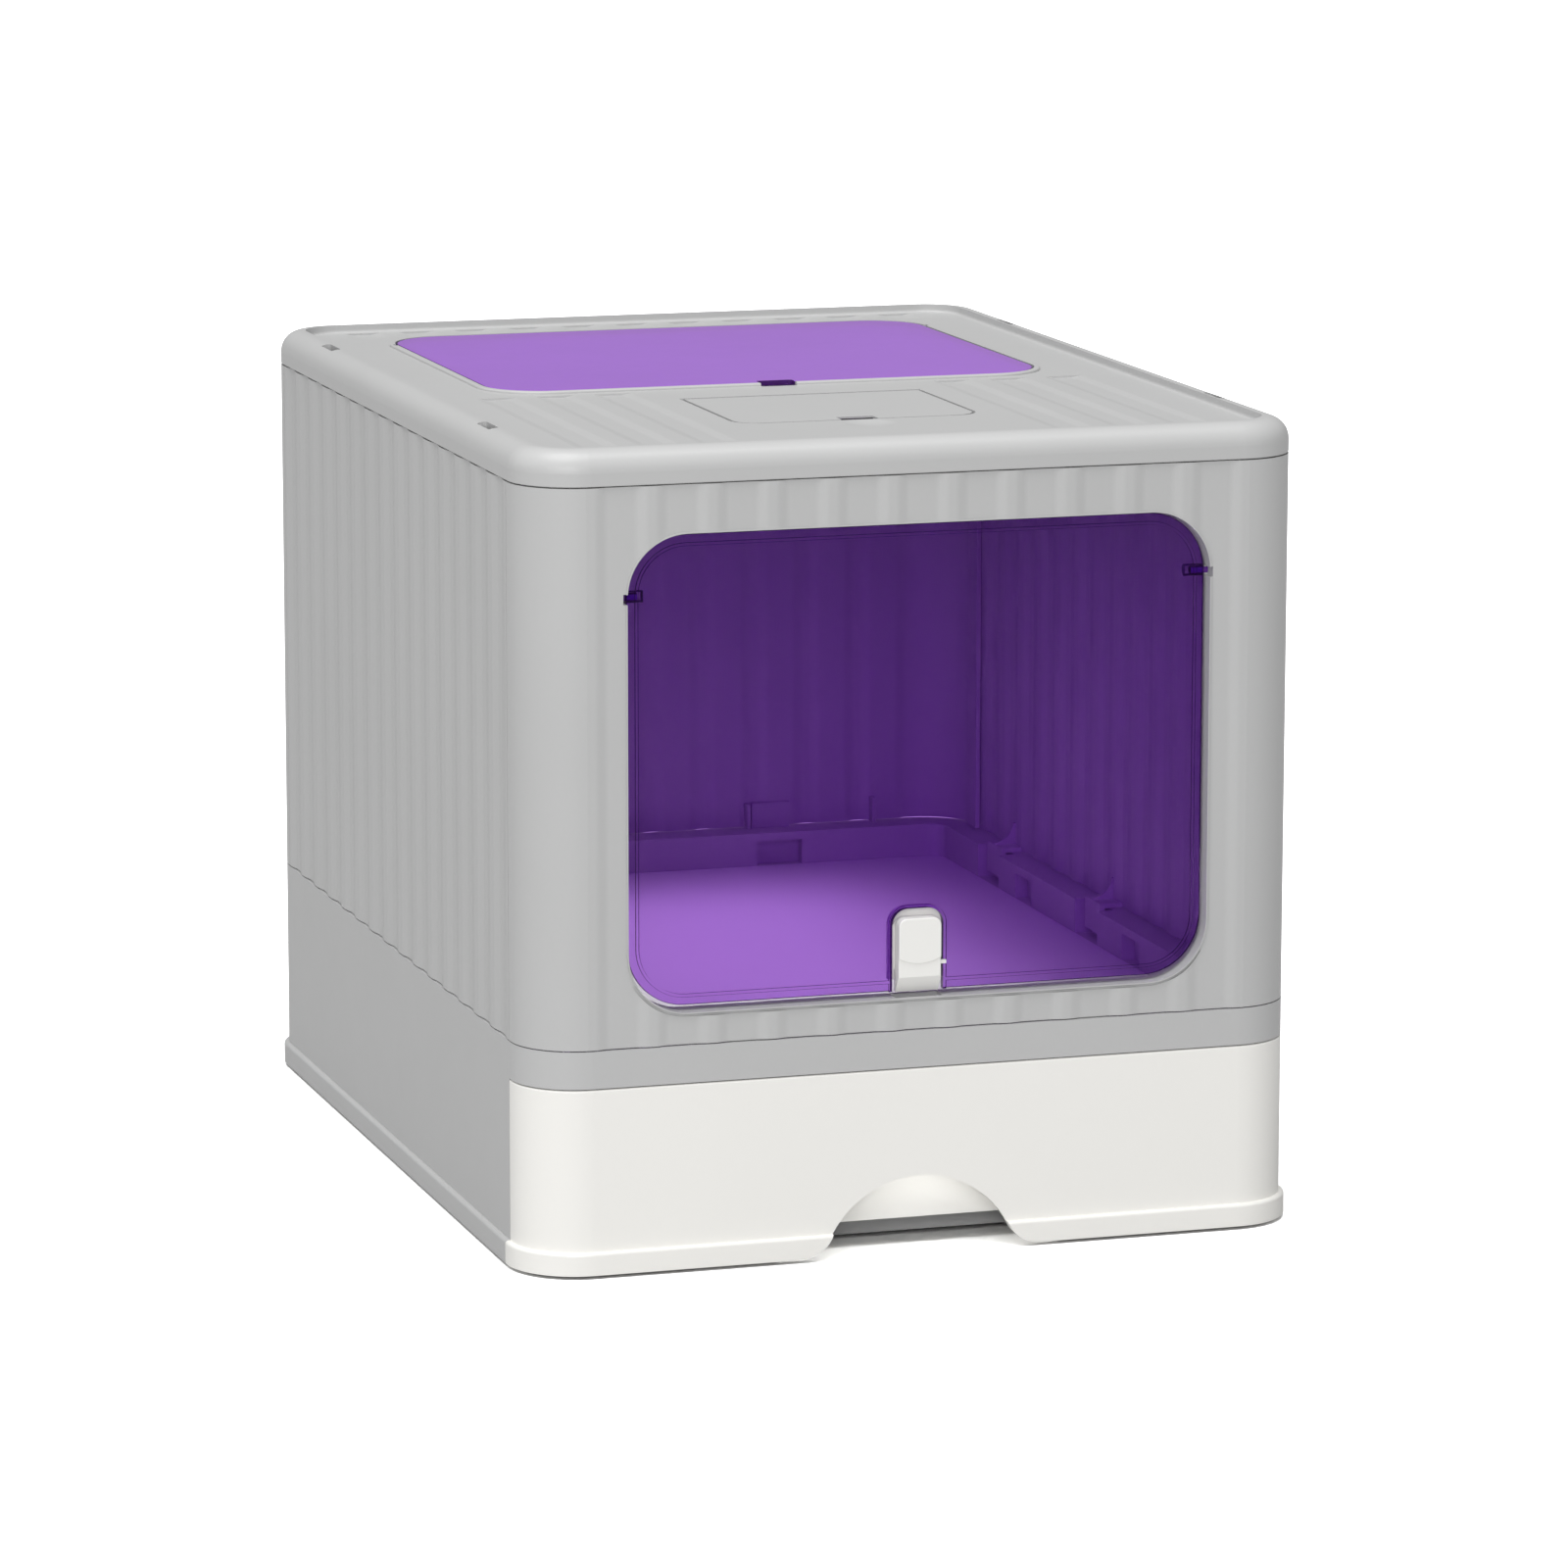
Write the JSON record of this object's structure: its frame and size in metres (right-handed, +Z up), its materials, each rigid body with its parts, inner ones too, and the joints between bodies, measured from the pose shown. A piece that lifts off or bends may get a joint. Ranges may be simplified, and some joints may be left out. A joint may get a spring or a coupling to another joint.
{
  "type": "drawer litter box",
  "caption": "Enclosed pet litter box with a pull-out drawer, ribbed clip-together walls, a see-through swing door with a latch and a lid with a see-through hatch.",
  "frame": {"origin": "bottom centre of the box's outer size, on the surface that it stands on", "axes": "+X to the right seen from the front, the front faces -Y, +Z up"},
  "size_m": [0.3992, 0.5252, 0.401],
  "materials": {
    "grey_plastic": "light grey moulded polypropylene with a faint grain",
    "white_plastic": "smooth off-white moulded polypropylene",
    "purple_clear": "polished see-through purple plastic",
    "rubber_pad": "dark soft rubber",
    "screw_steel": "zinc-plated steel",
    "charcoal": "black fibrous filter mat"
  },
  "bodies": {
    "base": {"base_housing": "grey_plastic", "anti_slip_feet": "rubber_pad", "litter_deck": "white_plastic", "front_panel": "grey_plastic", "back_panel": "grey_plastic", "left_panel": "grey_plastic", "right_panel": "grey_plastic"},
    "drawer": {"drawer_tray": "white_plastic", "drawer_front": "white_plastic", "drawer_front_screws": "screw_steel"},
    "door": {"front_door": "purple_clear", "door_pivot_pins": "purple_clear"},
    "latch": {"latch_slider": "white_plastic", "latch_back_clip": "white_plastic"},
    "lid": {"lid_shell": "grey_plastic", "filter_basket": "grey_plastic", "charcoal_pad": "charcoal"},
    "hatch": {"top_hatch": "purple_clear", "hatch_pivot_pins": "purple_clear"},
    "cover": {"filter_cover": "grey_plastic", "filter_cover_pins": "grey_plastic"}
  },
  "joints": [
    {"name": "drawer_pull", "type": "slide", "parent": "base", "child": "drawer", "axis": [0, -1, 0], "range_m": [0, 0.42]},
    {"name": "door_swing", "type": "hinge", "parent": "base", "child": "door", "pos_m": [0, -0.25, 0.329], "axis": [1, 0, 0], "range_deg": [-80, 80]},
    {"name": "latch_slide", "type": "slide", "parent": "door", "child": "latch", "axis": [0, 0, 1], "range_m": [-0.006, 0.0035]},
    {"name": "lid_lift_off", "type": "slide", "parent": "base", "child": "lid", "axis": [0, 0, 1], "range_m": [0, 0.15]},
    {"name": "hatch_swing", "type": "hinge", "parent": "lid", "child": "hatch", "pos_m": [0, 0.1775, 0.3944], "axis": [-1, 0, 0], "range_deg": [0, 90]},
    {"name": "cover_swing", "type": "hinge", "parent": "lid", "child": "cover", "pos_m": [0, -0.0698, 0.3937], "axis": [-1, 0, 0], "range_deg": [0, 100]}
  ]
}
